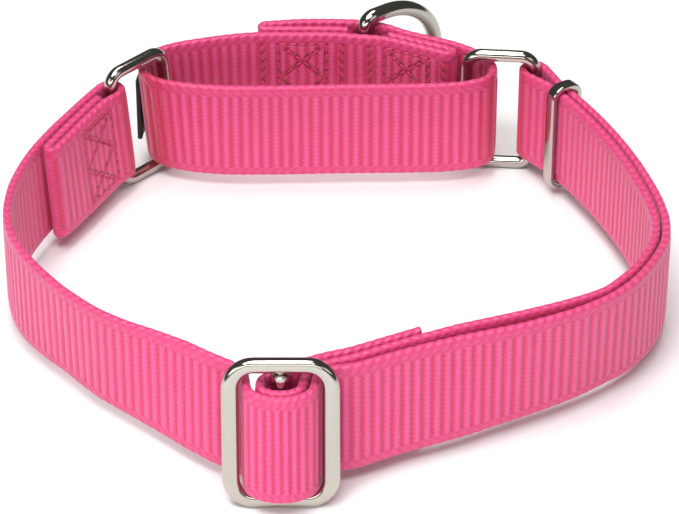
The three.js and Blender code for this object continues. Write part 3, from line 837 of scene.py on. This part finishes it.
# ---- Leash ring --------------------------------------------------------------------------------------
# A D of thicker wire. Its straight bar is caught between the plies at the back of the loop.
D_WIRE, D_BOW, D_STRAIGHT, D_CORNER = 3.8, 14.9, 6.5, 3.0

d_half = ("straight", D_BOW - D_CORNER)
d_corner, d_side = ("bend", 90, D_CORNER), ("straight", D_STRAIGHT - D_CORNER)
leash_ring = bend_wire(
    "leash_d_ring", D_WIRE / 2,
    [d_half, d_corner, d_side, ("bend", 180, D_BOW), d_side, d_corner, d_half])
set_down(leash_ring, "d_ring", "d_ring", *D_BAR, MID_Z, 35)

# ---- Tri-glide frame ---------------------------------------------------------------------------------
# A flat rounded frame of plated metal with softened edges, leaning back with the strap that fills it.
GLIDE_WIDTH, GLIDE_HEIGHT, GLIDE_CORNER = 25.4, 35.4, 7.0
GLIDE_RAIL, GLIDE_CROSS_RAIL, GLIDE_THICK, GLIDE_EASE, GLIDE_LEAN = 3.8, 3.2, 3.0, 1.1, 11


def flat_frame(name, width, height, corner, rail, cross_rail, thick, ease):
    """A rounded rectangular frame standing in the XZ plane, its edges eased."""
    bpy.ops.object.select_all(action="DESELECT")
    bpy.ops.mesh.primitive_plane_add(size=1)
    shape = bpy.context.object
    shape.name = shape.data.name = name
    bpy.ops.object.mode_set(mode="EDIT")
    bpy.ops.mesh.select_all(action="SELECT")
    bpy.ops.transform.resize(value=(width * MM, height * MM, 1))
    bpy.ops.mesh.bevel(offset=corner * MM, segments=10, affect="VERTICES")
    bpy.ops.mesh.select_all(action="SELECT")
    bpy.ops.mesh.inset(thickness=rail * MM)
    bpy.ops.transform.resize(value=(1, (height - 2 * cross_rail) / (height - 2 * rail), 1))
    bpy.ops.mesh.delete(type="FACE")
    bpy.ops.mesh.select_all(action="SELECT")
    bpy.ops.transform.rotate(value=math.pi / 2, orient_axis="X", center_override=(0, 0, 0))
    bpy.ops.object.mode_set(mode="OBJECT")
    solid = shape.modifiers.new("thickness", "SOLIDIFY")
    solid.thickness, solid.offset = thick * MM, 0
    bpy.ops.object.modifier_apply(modifier=solid.name)
    round_off = shape.modifiers.new("eased_edges", "BEVEL")
    round_off.width, round_off.segments = ease * MM, 5
    round_off.limit_method, round_off.angle_limit = "ANGLE", math.radians(50)
    bpy.ops.object.modifier_apply(modifier=round_off.name)
    face_outwards()
    bpy.ops.object.shade_smooth_by_angle(angle=math.radians(35))
    return shape


glide = flat_frame(
    "tri_glide_frame_shell", GLIDE_WIDTH, GLIDE_HEIGHT, GLIDE_CORNER, GLIDE_RAIL, GLIDE_CROSS_RAIL,
    GLIDE_THICK, GLIDE_EASE)
lean = math.radians(GLIDE_LEAN)
glide_z = GLIDE_HEIGHT / 2 * math.cos(lean) + (GLIDE_THICK / 2 - 0.7) * math.sin(lean)
glide_y = PIN[1] + (glide_z - MID_Z) * math.tan(lean)
set_down(glide, "tri_glide", "tri_glide_frame", PIN[0], glide_y, glide_z, 0, GLIDE_LEAN)

# ---- Tri-glide pin -----------------------------------------------------------------------------------
# The bar that the strap doubles round: a rod with a collar under the top rail, riveted at both ends.
PIN_RADIUS, PIN_COLLAR, RIVET = 1.35, 1.9, 0.75

pin_half = GLIDE_HEIGHT / 2 - 0.2
rail_gap = GLIDE_HEIGHT / 2 - GLIDE_CROSS_RAIL - 0.3
pin_shape = [  # height and radius at each step up the rod
    (-rail_gap, RIVET), (-rail_gap, PIN_RADIUS), (rail_gap - 1.6, PIN_RADIUS),
    (rail_gap - 1.2, PIN_COLLAR), (rail_gap - 0.4, PIN_COLLAR), (rail_gap, PIN_RADIUS),
    (rail_gap, RIVET), (pin_half, RIVET),
]
bpy.ops.object.select_all(action="DESELECT")
bpy.ops.mesh.primitive_circle_add(
    vertices=24, radius=RIVET * MM, fill_type="NGON", location=(0, 0, -pin_half * MM))
pin = bpy.context.object
pin.name = pin.data.name = "tri_glide_pin_rod"
bpy.ops.object.transform_apply(location=True)
bpy.ops.object.mode_set(mode="EDIT")
bpy.ops.mesh.select_all(action="SELECT")
at, wide = -pin_half, RIVET
for z, radius in pin_shape:
    bpy.ops.mesh.extrude_region_move(TRANSFORM_OT_translate={"value": (0, 0, (z - at) * MM)})
    bpy.ops.transform.resize(value=(radius / wide, radius / wide, 1))
    at, wide = z, radius
bpy.ops.mesh.select_all(action="SELECT")
bpy.ops.mesh.normals_make_consistent(inside=False)
bpy.ops.object.mode_set(mode="OBJECT")
bpy.ops.object.shade_smooth_by_angle(angle=math.radians(40))
set_down(pin, "tri_glide", "tri_glide_pin", PIN[0], glide_y, glide_z, 0, GLIDE_LEAN)

# ---- Keeper ------------------------------------------------------------------------------------------
# A plated band, rectangular in section, closed round both plies of the strap beside the right ring. It
# holds them together and slides along them.
KEEPER_INSIDE, KEEPER_WALL, KEEPER_BAND = (5.6, 26.0), 1.5, 3.0
KEEPER_CORNER, KEEPER_EASE = 3.4, 0.5

keeper = flat_frame(
    "keeper_band", KEEPER_INSIDE[0] + 2 * KEEPER_WALL, KEEPER_INSIDE[1] + 2 * KEEPER_WALL, KEEPER_CORNER,
    KEEPER_WALL, KEEPER_WALL, KEEPER_BAND, KEEPER_EASE)
keeper_place = on_arc(KEEPER_ARC, KEEPER_RADIUS, KEEPER_TURN)
set_down(keeper, "keeper", "keeper", *keeper_place, MID_Z, KEEPER_TURN)
